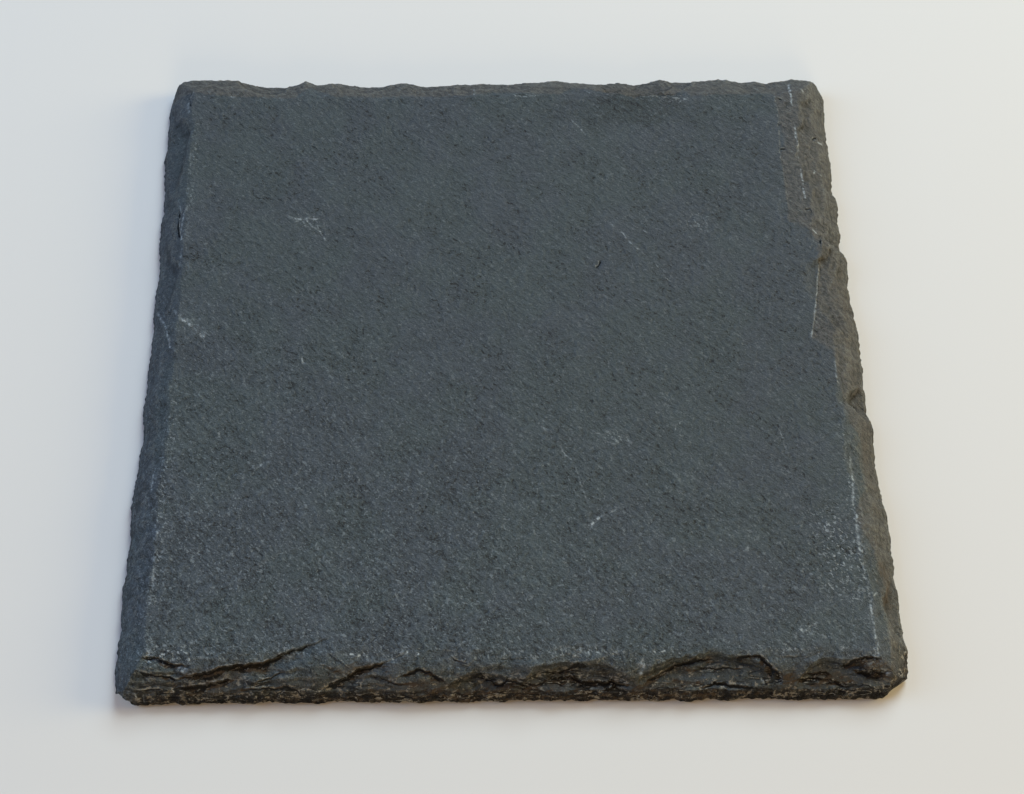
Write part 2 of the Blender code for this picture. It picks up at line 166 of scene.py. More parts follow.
# Ledges, where a layer breaks off: (drop, reach of the drop, points of its path). A path runs
# counter-clockwise round the slab, with the lower ground on its right.
LEDGES = [
    (1, 2.4, (-43.4, -48.3), (-41, -47.6), (-38.5, -47.2), (-36, -46.5), (-31.3, -46), (-28, -44.7),
     (-22.2, -42.8)),
    (0.9, 1.5, (-46.9, -45.1), (-44, -45.4), (-42.3, -46), (-39.8, -46.5)),
    (0.7, 1.2, (-46.9, -46.7), (-44.8, -47.3), (-42.5, -47.4), (-41.2, -48.3)),
    (0.5, 0.8, (-46.2, -48.8), (-44, -48.5), (-42.8, -48.9)),
    (0.8, 1.2, (-42.3, -48.5), (-38, -48.2), (-35.5, -47.7), (-34.2, -47.9)),
    (0.6, 0.8, (-34.5, -48.8), (-28, -48.5), (-25, -49.6)),
    (0.55, 0.9, (-32.4, -48.4), (-29, -47.1), (-28.2, -47.2)),
    (0.45, 0.7, (-23.2, -44.9), (-20.3, -46.9)),
    (0.4, 0.6, (-23.9, -46.4), (-21.2, -47.4)),
    (0.95, 1.5, (-24.4, -49), (-21, -47.6), (-19, -46.7), (-17, -46.5), (-15.2, -45.9)),
    (0.55, 0.8, (-18.4, -47.3), (-16, -47.9), (-14.3, -48.6), (-12.2, -48.4)),
    (0.75, 1.1, (-15, -48), (-12, -47), (-10.5, -47.3), (-7.7, -48.8)),
    (0.45, 0.7, (-8.1, -45.6), (-5.2, -46.8)),
    (0.7, 1, (-6.3, -47.9), (-4.2, -47.4), (-2, -48.4), (0, -48.3), (2.9, -49.1)),
    (0.35, 0.9, (-3.4, -46), (3.6, -46.1)),
    (0.6, 1, (3.2, -47.5), (8, -46.5), (10.2, -46.9)),
    (0.95, 1.1, (4.6, -48.2), (7, -47.6), (8.8, -48.3), (12, -48.3), (15.4, -49.2)),
    (0.55, 1.4, (22, -46.9), (26, -47), (29.5, -47.2)),
    (0.7, 0.7, (22.4, -49.6), (25, -48.6), (27.5, -48.9), (31.4, -49.5)),
    (0.35, 1.2, (32, -46.1), (36, -46.3), (38, -45.7)),
    (0.7, 0.9, (34.6, -48.9), (36, -48.3), (38, -48.3), (42.5, -49.1)),
    (0.55, 0.8, (36.1, -47.9), (38.5, -47.6), (40, -48.2)),
    (0.75, 1.4, (40.1, -47.4), (43, -46.4), (46.2, -46.5)),
    (0.9, 1, (42, -47.4), (44, -47.8), (47.2, -47.9)),
    (0.35, 4, (41.8, 20.6), (41.5, 34), (42, 42), (41.8, 50)),
    (0.45, 2.4, (42.3, 0.6), (43.6, 6), (45, 13), (45.6, 17)),
    (0.75, 1.6, (49.4, 17.2), (48.2, 18.3), (47, 17.6), (45.8, 18.2), (45.4, 16.6)),
    (0.55, 0.9, (46.8, -11.2), (47.9, -9), (47.4, -7.8)),
    (0.4, 1.1, (29.5, 44.9), (24, 45.3), (17, 45.9), (13, 46.8)),
    (0.55, 0.7, (0.2, 45.2), (-1.5, 46.1), (-3, 45.9)),
    (0.8, 1, (-46.4, 25.2), (-46.8, 22.8), (-46.6, 20.8), (-46, 18.4)),
    (0.35, 1.2, (-46.1, 9), (-47, 4.3), (-46.2, 0)),
    (0.65, 1.2, (-46, 47.4), (-46.9, 45.6), (-46.3, 43.2)),
    # Finer ledges and short cracks, which the solid leaves out.
    (0.8, 1.2, (15.4, -49.3), (16.6, -48.4), (18.9, -47.1), (21.3, -46.3), (24.4, -45.8), (25.8, -45.9)),
    (0.85, 1, (26.8, -46.3), (29, -45.9), (30.6, -46), (32, -47.2), (34, -48.9)),
    (0.6, 0.8, (-0.7, -48.1), (1, -48.2), (2.4, -48.6), (3.8, -48.2), (5.7, -47.6), (7.4, -47.3)),
    (0.5, 0.6, (-0.7, -48.8), (1.8, -49), (4.3, -49.3)),
    (0.6, 0.6, (10.4, -49.2), (12.4, -48.9), (14.6, -49.4)),
    (0.5, 0.6, (38.4, -49), (40.5, -48.8), (42, -49.4)),
    (0.35, 0.9, (35.4, -46.8), (36.9, -46.2), (38.6, -45.4)),
    (0.62, 0.8, (28.9, 45.3), (26.8, 45.7), (24.6, 45.5), (22.2, 46.1), (19, 46), (16.2, 46.6)),
    (0.5, 0.7, (-4.2, 45.6), (-5.4, 46.1), (-7, 46)),
    (0.62, 0.5, (41.4, 34.9), (41.9, 35), (42.5, 34.9)),
    (0.62, 0.5, (43.9, 23.6), (44.4, 23.6), (44.9, 23.7)),
    (0.66, 0.5, (46.8, 37.6), (47.1, 38.4), (47.8, 38.5)),
    (0.62, 0.4, (42.3, 45), (42.6, 44.8), (42.9, 44.4)),
    (0.7, 0.4, (12.8, 13.2), (13.3, 13.7), (13.6, 14.6)),
]
CRACK_WIDTH = 0.03  # a crack at a ledge's lip, at its narrowest
CRACK_DEPTH = 0.06
LEDGE_DROP = 0.5  # how much of a ledge's drop is a clean step
LEDGE_WALL = 0.06  # run of a ledge's broken face
ARCH = 1.6  # rim of a flake's bite: 2 makes it an ellipse, 1 a gable

LAYERS = [0, 0.5, 0.95, 1.5, 1.9, 2.5, 3.1, 3.9, 4.6, 5, 5.8]  # heights of the cleavage planes

# The table, the light and the camera, in metres, watts and degrees; lens and film are in millimetres.
FLOOR_SIZE = 3.0
FLOOR_GAP = -0.00002  # the table lies just under the slab
FLOOR_COLOR = (0.672, 0.658, 0.655, 1)
FLOOR_ROUGHNESS = 0.85
FLOOR_SHINE = 0.2
SKY_COLOR = (1.0, 0.5, 0.4, 1)
SKY_STRENGTH = 0.17
LAMPS = [  # (name, place, size, power, colour)
    ("window", (0.28, 0.55, 0.6), 0.45, 6.6, (0.7, 0.887, 0.98)),
    ("side", (0.75, 0.1, 0.3), 0.35, 4.4, (1.0, 0.83, 0.42)),
    ("left", (-0.6, 0.05, 0.4), 0.5, 2.9, (0.38, 0.655, 0.95)),
    ("front", (0.1, -0.6, 0.22), 0.2, 1.3, (1.0, 0.82, 0.45)),
]
CAMERA_LENS = 60.3
CAMERA_FILM = 36.0
CAMERA_PLACE = (-0.006, -0.13, 0.2028)
CAMERA_TURN = (31.59, -1.16, -1.29)

# The stone's colours, the depth of its fine grain in millimetres, and its shine.
STONE_BLUE = (0.0505, 0.062, 0.075, 1)
STONE_GREY = (0.0505, 0.0645, 0.0725, 1)
FRESH_DARK = (0.045, 0.0445, 0.044, 1)
FRESH_PALE = (0.106, 0.103, 0.097, 1)
RUST_DARK = (0.03, 0.019, 0.011, 1)
RUST_PALE = (0.085, 0.064, 0.043, 1)
# Near-black painted shade, for cracks, pits, hollows and the gaps between layers.
CRACK_SHADE = (0.008, 0.0095, 0.011, 1)
# The same painted crack shade where stained, and dark brown crumbs at the front's foot.
CRACK_BROWN = (0.006, 0.0035, 0.0015, 1)
# Painted highlight on the raised crests of the broken stone.
CREST_HIGHLIGHT_PALE = (0.2, 0.2, 0.18, 1)
# Pale flecks of the grain, partly painted glints.
FLECK_PALE = (0.175, 0.205, 0.23, 1)
SHARD_PALE = (0.28, 0.275, 0.255, 1)
# Near-black painted shade in splits, between torn fibres and in the rubble at the foot.
SPLIT_SHADE = (0.002, 0.0015, 0.001, 1)
TORN_BROWN = (0.054, 0.039, 0.027, 1)
# Front facets' colours: their own blue and olive hues, darkened partly as painted shade.
FACET_BLUE = (0.038, 0.046, 0.056, 1)
FACET_OLIVE = (0.042, 0.042, 0.034, 1)
SCUFF_PALE = (0.39, 0.44, 0.48, 1)
WALL_BROWN = (0.045, 0.033, 0.023, 1)
CRUMB_PALE = (0.265, 0.24, 0.195, 1)
GRAIN_DEPTH = 0.38
STONE_SHINE = 0.26

# Noise drawn out along a line: (stretch, the line's degrees, size in millimetres, detail, roughness).
# The stone's own grain runs at 135 degrees.
GRAIN_PATTERNS = {
    "dashes": (1.45, 135, 0.62, 4, 0.72),
    "lumps": (2.4, 135, 0.9, 3, 0.6),
    "medium": (1.5, 135, 0.36, 2, 0.5),
    "flecks": (1.3, 135, 0.48, 2.5, 0.5),
    "fibres": (5, 135, 0.5, 3, 0.6),
    "patches": (1.45, 135, 5.5, 4, 0.6),
    "dots": (1.5, 135, 0.38, 3, 0.6),
    "streaks": (4, 18, 0.55, 4, 0.65),
    "shreds": (2.6, 24, 0.34, 3, 0.6),
}
# Noise that is even, or drawn out level: (squeeze, size in millimetres, detail, roughness, twist).
FLAT_PATTERNS = {
    "fine": ((1, 1, 1), 0.2, 2, 0.6),
    "hue": ((1, 1, 1), 9, 3, 0.5),
    "sparks": ((1, 1, 1), 0.32, 1.5, 0.5),
    "layers": ((0.12, 0.12, 1), 0.6, 3, 0.6),
    "facets": ((0.6, 1, 1), 2.6, 2, 0.5),
    "crumbs": ((0.7, 0.8, 0.6), 0.5, 3, 0.7),
    "rubble": ((0.8, 0.8, 0.9), 1, 3, 0.75),
    "splits": ((0.22, 0.9, 0.8), 0.7, 2, 0.5, 0.4),
    "openings": ((0.4, 1, 0.8), 1.6, 2, 0.5),
}
# How the grain shades the stone: (pattern, value of no light, value of full light, weight).
GRAIN_SHADES = [
    ("patches", 0.3, 0.7, 0.16), ("dashes", 0.38, 0.62, 0.4), ("fine", 0.33, 0.67, 0.5),
    ("medium", 0.38, 0.62, 0.28), ("lumps", 0.36, 0.64, 0.26),
]
GRAIN_MIDDLE = 0.8  # half of all those weights together
TONE_WEIGHT = 0.3  # how strongly TONES shows
MASKS = ["broken", "crack", "lip", "rust", "scuff", "dotted", "stain", "fibrous", "fresh", "tone",
         "coarse", "hollow"]  # that the mesh's points carry for the material

# Small broken steps between the named ones: (edge, how many, least and greatest drop).
SMALL_LEDGES = [("front", 60, 0.1, 0.36), ("right", 8, 0.05, 0.12), ("back", 10, 0.06, 0.14),
                ("left", 4, 0.05, 0.12)]

# How far the paler, freshly split stone reaches in from an edge: (place, distance in).
FRESH = {
    "right": [
        (-50, 3.3), (-44, 2.9), (-40, 2.5), (-36, 2), (-31, 3.5), (-27.5, 5.2), (-24.8, 4.5),
        (-22.5, 3.2), (-17, 2.7), (-14.6, 2.4), (-12.6, 3.8), (-9, 4.4), (-1, 4.9), (0, 6.6), (1.2, 7.7),
        (6, 6.6), (12, 5.3), (17, 5), (18.5, 5.2), (20.6, 6.4), (21.2, 8.6), (34, 8.6), (36, 7.9),
        (48, 8.3), (50, 8.3),
    ],
    "back": [
        (-50, 3), (-41, 4.6), (-31, 4.8), (-29, 2), (-25, 4.6), (-5, 4.4), (-1, 3.4), (9, 4.4),
        (11, 2.2), (16, 3.6), (21, 4.4), (26.5, 4.5), (28, 3.2), (29, 4.6), (41, 4.2), (50, 4.2),
    ],
}

# Pale scratches and bruised lines: (strength, half width, points of its path).
SCRATCHES = [
    (0.55, 0.16, (-30.8, 22.7), (-29.3, 22.1), (-28.2, 22.5), (-27, 22.2)),
    (0.5, 0.13, (-28.6, 22.4), (-27.4, 20.8), (-26.3, 19.9), (-25.5, 18.4)),
    (0.35, 0.12, (-29.6, 23.2), (-28.4, 21)),
    (0.8, 0.24, (-46.2, 6.7), (-44.9, 5), (-43.6, 3.9), (-41.7, 1.9)),
    (0.3, 0.14, (-41.9, 7.9), (-41.2, 7.2)),
    (0.55, 0.12, (10.3, 41.2), (11.2, 39.9), (12.6, 37.9)),
    (0.45, 0.11, (15, 21.6), (16.8, 19.8), (18.2, 17.6), (20.2, 15.4)),
    (0.35, 0.1, (18.9, 20.7), (20.6, 19.4)),
    (0.4, 0.12, (26.9, 21.9), (27.6, 22.7), (28.7, 22.5), (29.2, 21.5), (28.6, 20.5), (27.6, 20.7)),
    (0.3, 0.1, (21.6, 13.7), (22.3, 12.3), (23.2, 10.9)),
    (0.45, 0.12, (3.9, -11.9), (4.5, -12.9), (5.2, -13.6)),
    (0.45, 0.11, (6.9, -15.8), (7.5, -17.2), (8.4, -18.1)),
    (0.35, 0.1, (8.8, -19.3), (9.3, -21.6), (10.1, -24.3)),
    (0.9, 0.2, (10.4, -27.7), (11, -27.2), (11.7, -26.4)),
    (0.55, 0.16, (13.2, -25.8), (14, -25.2)),
    (0.4, 0.11, (11.8, -13.9), (13.2, -14.2), (14.4, -15.1)),
    (0.4, 0.11, (13.4, -13.7), (15.1, -14.6), (16.4, -15.4)),
    (0.3, 0.1, (12.6, -15), (13.8, -15.6)),
    (0.35, 0.13, (36.4, -13.8), (36.8, -15.3), (37, -16.7)),
    (1, 0.17, (44.4, 48.2), (44.2, 46.4), (44.3, 44.4)),
    (0.9, 0.15, (44.3, 47.3), (44.2, 43.8)),
    (0.8, 0.14, (44.3, 39.6), (44.2, 38)),
    (0.8, 0.14, (44.2, 37.4), (44.3, 36.2), (44.2, 33.4)),
    (0.6, 0.12, (44.2, 31), (44.3, 28.4)),
    (0.8, 0.16, (44.2, 27.4), (44.3, 25.7)),
    (0.55, 0.13, (42.4, 1.2), (43.3, 5), (44.2, 9.4), (45, 13.4)),
    (0.5, 0.14, (45.3, -2.6), (45.1, -4.8), (45.4, -6.6)),
    (0.8, 0.18, (45.4, -20.4), (45, -25.2)),
    (0.6, 0.15, (45.6, -17.6), (45.5, -20)),
    (0.75, 0.2, (45.1, -26.6), (44.9, -31.8)),
    (0.45, 0.15, (45, -33.8), (45.4, -38.4)),
    (0.7, 0.16, (45.3, -39.6), (45.4, -46.6)),
    (0.6, 0.14, (44.2, -37.2), (43.2, -38.4)),
    (0.55, 0.12, (46.4, -37.6), (45.2, -39.2)),
    (0.6, 0.14, (-45.2, 25.8), (-46.1, 23.4), (-46.3, 20.4), (-46, 18.8)),
    (0.45, 0.14, (-46.6, 24.2), (-47.2, 26.4)),
    (0.6, 0.14, (-46.3, 0.6), (-47.1, 4.2), (-49, 8)),
    (0.5, 0.16, (-46.7, -18.2), (-46.9, -21.6)),
    (0.55, 0.15, (-45.6, -32), (-45.4, -35.2)),
    (0.4, 0.15, (-45.5, -45.4), (-44.6, -43.6)),
    (0.55, 0.15, (-46.9, 42.6), (-47.1, 44.6), (-46.5, 46.8)),
    (0.45, 0.13, (-46, 33.2), (-45.9, 34.6)),
    (0.45, 0.13, (-46, 14.2), (-45.9, 17.2)),
    (0.5, 0.15, (-40.7, 45.6), (-39.6, 45)),
    (0.35, 0.13, (-45.6, 45.4), (-44.4, 45.5)),
    (0.6, 0.15, (26.6, 45.1), (27.6, 44.7), (28.7, 45)),
    (0.4, 0.12, (-3.9, 47.9), (-4, 45.7)),
    (0.4, 0.13, (2, 45.6), (3.6, 45.3), (5.4, 45.5)),
    (0.35, 0.12, (12.9, 47.2), (13.6, 46.4)),
    (0.6, 0.12, (46.1, 32), (46.7, 31.6), (46.4, 31.1)),
    (0.6, 0.12, (47, 31.4), (47.6, 31)),
    (0.6, 0.13, (47.3, 38), (47.8, 37.6), (48.5, 37.8)),
]

# Pale specks: (x, y, radius, strength).
SPECKS = [
    (-28, -2, 0.2, 0.5), (-38.5, -13.5, 0.18, 0.4), (-33, -18.5, 0.24, 0.6),
    (22.5, -13, 0.24, 0.7), (23.1, -12.3, 0.18, 0.5), (29.8, -14, 0.2, 0.5),
    (36.6, -42.9, 0.34, 0.9), (37.5, -42.2, 0.24, 0.8), (41.3, -45.3, 0.4, 0.6),
    (-40.9, -46.7, 0.48, 0.9), (15.8, -46.7, 0.46, 0.9), (15.9, -47.4, 0.42, 0.8),
    (27.3, 44.4, 0.2, 0.7), (46.2, 46.6, 0.3, 0.6), (-33.4, -44.6, 0.18, 0.5),
    (-25, -30, 0.16, 0.3), (-46.8, -49.2, 0.16, 0.8), (-45.9, -49.4, 0.14, 0.7),
    (-42.2, -48.7, 0.16, 0.8), (-37.2, -49, 0.15, 0.7), (-31.4, -45.4, 0.22, 0.7),
    (-21, -47.6, 0.2, 0.6), (30.9, -48.6, 0.25, 0.8), (46.4, -47.9, 0.4, 0.9),
    (13.4, 8.6, 0.16, 0.3), (-8, 31.5, 0.16, 0.3), (30.5, -31, 0.18, 0.4),
    (-14.6, -37.5, 0.18, 0.35), (45.1, 19.6, 0.3, 0.7), (45.4, -9, 0.2, 0.5),
    (-45.4, -28.2, 0.2, 0.6), (-45.7, -16.1, 0.2, 0.5),
]
# Places of the pale specks along the front arris.
FRONT_SPECKS = [-20.2, -19.3, -18.2, -15.1, -13.2, -12, 0.8, 3, 6.1, 7.5, 8.3, 9.3, 10.5, 17.5, 18.5,
                19.7, 20.7, 33.6, 35.2]

# Bruised areas strewn with fine pale dots: (x, y, half width, half depth, strength).
SCUFFED = [
    (-42.6, -44.8, 4.6, 1.5, 0.8), (41.8, -32, 3.6, 8.5, 0.6), (-30, -44.8, 7, 1, 0.35),
    (5.5, -45.3, 9, 0.9, 0.55), (-17, -45.2, 5.5, 0.9, 0.45), (45, -28, 1, 18, 0.55),
    (-45.2, -25, 1.1, 22, 0.45), (-45.4, 30, 0.9, 14, 0.3), (14, -14.6, 2.4, 1.5, 0.35),
    (-27.6, 21.4, 2.4, 2.4, 0.3), (28.2, 21.4, 2.2, 2, 0.4), (-44, 4.4, 2.6, 2.2, 0.3),
    (36.5, -42.6, 1.6, 1.1, 0.5), (34, -45.2, 5, 0.8, 0.35), (24.8, 44.6, 4.5, 0.7, 0.4),
]

# Brown iron stain in the breaks: (x, y, half width, half depth, strength).
STAINS = [
    (-38.5, -48.9, 5.5, 0.8, 0.9), (-36.5, -47.7, 4.5, 1, 0.8), (-32.5, -46.6, 3.5, 0.9, 0.9),
    (-28, -45.3, 3, 0.7, 0.7), (-19.5, -47.2, 3.5, 1, 0.8), (-11.5, -48.6, 3.5, 0.8, 0.8),
    (-5, -49.2, 14, 0.8, 0.9), (8, -48.4, 8, 1.5, 0.8),
    (21, -47.6, 4.5, 0.8, 0.6), (19, -49, 5.5, 1, 0.9), (38, -48.6, 6.5, 1.3, 0.9),
    (45.5, -48, 3.2, 1.8, 0.8), (0, -49.8, 52, 0.7, 0.8), (48, -36, 1.6, 6, 0.6),
    (47.5, 9, 2.6, 9, 0.4), (48.4, -14, 1.8, 14, 0.4), (20.5, 47.2, 9.5, 1.6, 0.45),
]

# Soft darker and lighter areas of the split face: (x, y, half width, half depth, amount). Those of amount
# -1 or less are painted shade in small hollows beside ledges.
TONES = [
    (19.5, 42, 11, 4, -0.85), (20, 44.6, 9, 1.4, -0.6), (-20, 15, 26, 22, 0.06),
    (-37, -25, 9, 16, 0.1), (8, -34, 20, 8, 0.08), (33, 5, 9, 22, -0.06),
    (-3, 42, 12, 4, -0.12), (43.5, 34, 2.6, 14, 0.3), (-10, -20, 16, 10, -0.05),
    (-48.5, -42, 3.2, 8, 0.3), (27.6, 47.2, 1.9, 0.8, -2), (20.5, 46.1, 8, 0.7, -1.1),
    (-0.7, 45.6, 1, 0.4, -2), (46.8, 16.6, 1.4, 0.7, -1.7), (33, 32, 12, 14, -0.15),
    (-44.6, -36, 3, 10, -0.3),
]


def smooth(t):
    """Ease from 0 to 1."""
    t = np.clip(t, 0.0, 1.0)
    return t * t * (3 - 2 * t)


def scramble(i, j, seed):
    """A number for each cell of a grid, without order but the same on every run."""
    key = i.astype(np.int64) * 374761393 + j.astype(np.int64) * 668265263
    key = (key + seed * 974711) & 0xFFFFFFFF
    key = ((key ^ (key >> 13)) * 1274126177) & 0xFFFFFFFF
    return key ^ (key >> 16)


def noise(x, y, size, seed):
    """Smooth gradient noise, about -1 to 1, with lumps of the given size."""
    u = np.asarray(x, float) / size
    v = np.asarray(y, float) / size
    i, j = np.floor(u), np.floor(v)
    fu, fv = u - i, v - j
    total = 0.0
    for di in (0, 1):
        for dj in (0, 1):
            angle = (scramble(i + di, j + dj, seed) & 0xFFFF) * (2 * np.pi / 65536)
            gu, gv = fu - di, fv - dj
            fade = (1 - smooth(np.abs(gu))) * (1 - smooth(np.abs(gv)))
            total = total + fade * (np.cos(angle) * gu + np.sin(angle) * gv)
    return total * 1.6


def noise_along(s, size, seed):
    """Noise that changes only along an edge."""
    return noise(s, 0 * s, size, seed)


def table(points, t):
    """Read a given list of (place, value) points at t."""
    places, values = zip(*points)
    return np.interp(t, places, values)


def along_and_in(edge, x, y):
    """Place along an edge, and distance in from its nominal line."""
    ix, iy = INWARD[edge]
    return (x, HALF + iy * y) if iy else (y, HALF + ix * x)


def plan(edge, s, d):
    """Point at a place along an edge and a distance in from its nominal line."""
    ix, iy = INWARD[edge]
    return (s, iy * (d - HALF)) if iy else (ix * (d - HALF), s)


def scallops(edge, s):
    """Small broken bites along the rim."""
    seed = 11 + len(edge)
    return 0.07 * noise_along(s, 0.5, seed + 3) - 0.22 * np.abs(noise_along(s, 1.3, seed + 7))


def proud(edge, s):
    """How far the base stands out from its nominal line: bumps with scallops on them."""
    uneven = 0.16 * noise_along(s, 2.6, 11 + len(edge))
    return table(EDGES[edge]["proud"], s) + uneven + scallops(edge, s)


def inside(edge, x, y):
    """Place along an edge, and distance in from its ragged line, whose bites fade inwards."""
    s, d = along_and_in(edge, x, y)
    return s, d + proud(edge, s) - 0.9 * smooth(d / 1.8) * scallops(edge, s)


def inside_corner(corner, x, y):
    """Distance in from a broken corner."""
    (ax, ay), (bx, by) = corner
    length = np.hypot(bx - ax, by - ay)
    wobble = 0.25 * noise(x, y, 2.2, 31)
    return ((by - ay) * (ax - x) + (bx - ax) * (y - ay)) / length + wobble


def clear_of_outline(x, y):
    """Distance in from the nearest part of the outline."""
    near = [inside(edge, x, y)[1] for edge in EDGES]
    near += [inside_corner(corner, x, y) for corner in CORNERS]
    return np.min(near, axis=0)


def bevel_height(edge, x, y):
    """Slope of one edge, from the rim up past the split face."""
    s, d = inside(edge, x, y)
    shape = EDGES[edge]
    width = 1 + (0.06 + 0.4 * shape["rough"]) * noise_along(s, 7.0, 41) + 0.08 * noise(x, y, 2.4, 43)
    z = table(shape["bevel"], d / width)
    return np.where(z >= THICK, THICK + 1, z)


def flake_ring(flake, x, y):
    """How far out of a flake's bite points lie: 1 on the rim of its floor."""
    edge, middle, half, reach = flake[:4]
    s, d = inside(edge, x, y)
    ragged = 1 + 0.15 * noise(x, y, 3.0, 53) + 0.04 * noise(x, y, 1.0, 57)
    return (np.abs((s - middle) / half) ** ARCH + np.abs(d / reach) ** ARCH) ** (1 / ARCH) * ragged


def flake_height(flake, x, y):
    """Height of one flake's bite, a floor with a wall behind it, and the painted shade line at its rim.
    """
    edge, _, _, reach, floor, slope = flake
    ring = flake_ring(flake, x, y)
    bowl = 0.35 * np.minimum(ring, 1) ** 2
    wall = EDGES[edge]["wall"] * reach * np.maximum(ring - 1, 0)
    thick = 0.12 + 0.1 * noise(x, y, 1.6, 59)
    rim = smooth(1.2 - np.abs(ring - 0.99) * reach / thick) * EDGES[edge]["line"]
    return floor + slope * inside(edge, x, y)[1] + bowl + wall, rim


def flake_rim(flake):
    """The line round the floor of a flake's bite."""
    edge, middle, half, reach = flake[:4]
    turn = np.linspace(0.03, math.pi - 0.03, round(2.6 * half / LINE_STEP))
    out = np.ones(turn.shape)
    for _ in range(4):
        s = middle + out * half * np.cos(turn)
        x, y = plan(edge, s, out * reach * np.sin(turn) - proud(edge, s))
        out /= flake_ring(flake, x, y)
    return np.column_stack((x, y))


def near_path(path, reach, x, y):
    """Which points lie in the box round a path, padded by reach."""
    xs, ys = zip(*path)
    across = (x > min(xs) - reach) & (x < max(xs) + reach)
    return np.flatnonzero(across & (y > min(ys) - reach) & (y < max(ys) + reach))


def along_path(path, x, y):
    """Distance to the right of a path (negative on its left), and share of the way along it."""
    best = np.full(x.shape, np.inf)
    signed, place = np.zeros((2, *x.shape))
    lengths = [math.dist(a, b) for a, b in zip(path, path[1:])]
    done = 0.0
    for (ax, ay), (bx, by), length in zip(path, path[1:], lengths):
        ux, uy = (bx - ax) / length, (by - ay) / length
        t = np.clip((x - ax) * ux + (y - ay) * uy, 0, length)
        away = np.hypot(x - ax - t * ux, y - ay - t * uy)
        right = (x - ax) * uy - (y - ay) * ux
        nearer = away < best
        best = np.where(nearer, away, best)
        signed = np.where(nearer, np.where(right > 0, away, -away), signed)
        place = np.where(nearer, (done + t) / sum(lengths), place)
        done += length
    return signed, place


def wandering(path, sway):
    """Closely spaced points along a path that strays a little, as breaks do."""
    corners = np.array(path)
    lengths = np.hypot(*np.diff(corners, axis=0).T)
    places = np.concatenate(([0], np.cumsum(lengths)))
    t = np.linspace(0, places[-1], max(3, round(places[-1] / LINE_STEP) + 1))
    x = np.interp(t, places, corners[:, 0])
    y = np.interp(t, places, corners[:, 1])
    ahead = np.column_stack((np.gradient(x), np.gradient(y)))
    ahead /= np.hypot(*ahead.T)[:, None]
    stray = 0.14 * noise(x, y, 1.6, 61) + 0.09 * noise(x, y, 0.6, 63) + 0.05 * noise(x, y, 0.3, 67)
    stray *= sway
    return np.column_stack((x + stray * ahead[:, 1], y - stray * ahead[:, 0]))


def cut_ledge(ledge, x, y, z, crack, lip, rust):
    """Lower the ground right of a ledge's path; mark its crack, painted as shade, its lip, painted as a
    highlight, and its stain below, partly painted shadow.
    """
    drop, reach, path = ledge
    i = near_path(path, reach + 1, x, y)
    signed, place = along_path(path, x[i], y[i])
    ends = smooth(place / 0.25) * smooth((1 - place) / 0.25)
    wall = smooth(signed / LEDGE_WALL)
    fall = wall * (1 - smooth((signed - LEDGE_WALL) / reach))
    width = (CRACK_WIDTH + 0.16 * drop) * ends * (0.8 + 1.2 * noise(x[i], y[i], 1.0, 65))
    slit = smooth((signed + 0.01) / 0.05) * (1 - smooth((signed - LEDGE_WALL - width) / 0.08))
    weight = ends * np.clip(2.5 * drop - 0.75, 0, 1)
    z[i] -= LEDGE_DROP * drop ** 2 * ends * fall + CRACK_DEPTH * weight * slit
    # The crack is painted shade, where the step hides the light.
    crack[i] = np.maximum(crack[i], weight * slit)
    # Painted highlight along the lip, where the crest catches the light; the material breaks it into pale
    # crumbs.
    pale = smooth((signed + 0.18) / 0.08) * (1 - smooth((signed + 0.02) / 0.03))
    lip[i] = np.maximum(lip[i], ends * np.clip(drop / 0.5, 0, 1) * pale)
    # Brown band below the step, partly iron stain and partly painted shadow cast by the step.
    deep = drop * np.clip(0.8 + 1.0 * noise(x[i], y[i], 2.2, 69), 0.15, 1.5)
    below = smooth((signed + 0.04) / 0.06) * np.clip(1 - signed / deep, 0, 1)
    rust[i] = np.maximum(rust[i], ends * np.clip(drop / 0.7 - 0.4, 0, 1) * below)


def chips(x, y, size, seed):
    """Shell-shaped chips with sharp crests, drawn out along the grain; about 0 to 1."""
    u = (y - x) / (1.7 * size * np.sqrt(2))
    v = (y + x) / (size * np.sqrt(2))
    i = np.floor(u)
    j = np.floor(v)
    lowest = np.full(x.shape, np.inf)
    for di in (-1, 0, 1):
        for dj in (-1, 0, 1):
            key = scramble(i + di, j + dj, seed)
            cu = i + di + (key & 0xFF) / 256
            cv = j + dj + ((key >> 8) & 0xFF) / 256
            height = (u - cu) ** 2 + (v - cv) ** 2 - 0.35 * ((key >> 16) & 0xFF) / 256
            lowest = np.minimum(lowest, height)
    return lowest + 0.35


def layered(z, x, y, strength):
    """Pull a slope into the flat treads and steep walls of the stone's layers."""
    wander = 0.55 * noise(x, y, 6.5, 71) + 0.16 * noise(x, y, 1.8, 73)
    level = z + wander
    layers = np.array(LAYERS)
    k = np.clip(np.searchsorted(layers, level) - 1, 0, len(layers) - 2)
    low, high = layers[k], layers[k + 1]
    part = (level - low) / (high - low)
    stepped = low + (high - low) * smooth((part - 0.35) / 0.3)
    return z + strength * (stepped - level)


def small_ledges():
    """Short broken steps strewn over the bevels, nearly in line with their edge."""
    rng = np.random.default_rng(23)
    ledges = []
    for edge, count, least, most in SMALL_LEDGES:
        ahead = 1 if edge in ("front", "right") else -1
        for _ in range(count):
            s = rng.uniform(-47, 47)
            d = rng.uniform(0.5, 4.6)
            half = rng.uniform(0.6, 2.4)
            lean = rng.uniform(-0.45, 0.45)
            arch = rng.uniform(-0.25, 0.55)
            path = [plan(edge, s + ahead * half * t, d + half * lean * t + arch * half * (1 - t * t))
                    for t in (-1, -0.35, 0.3, 1)]
            ledges.append((rng.uniform(least, most), rng.uniform(0.45, 1.0), path))
    return ledges


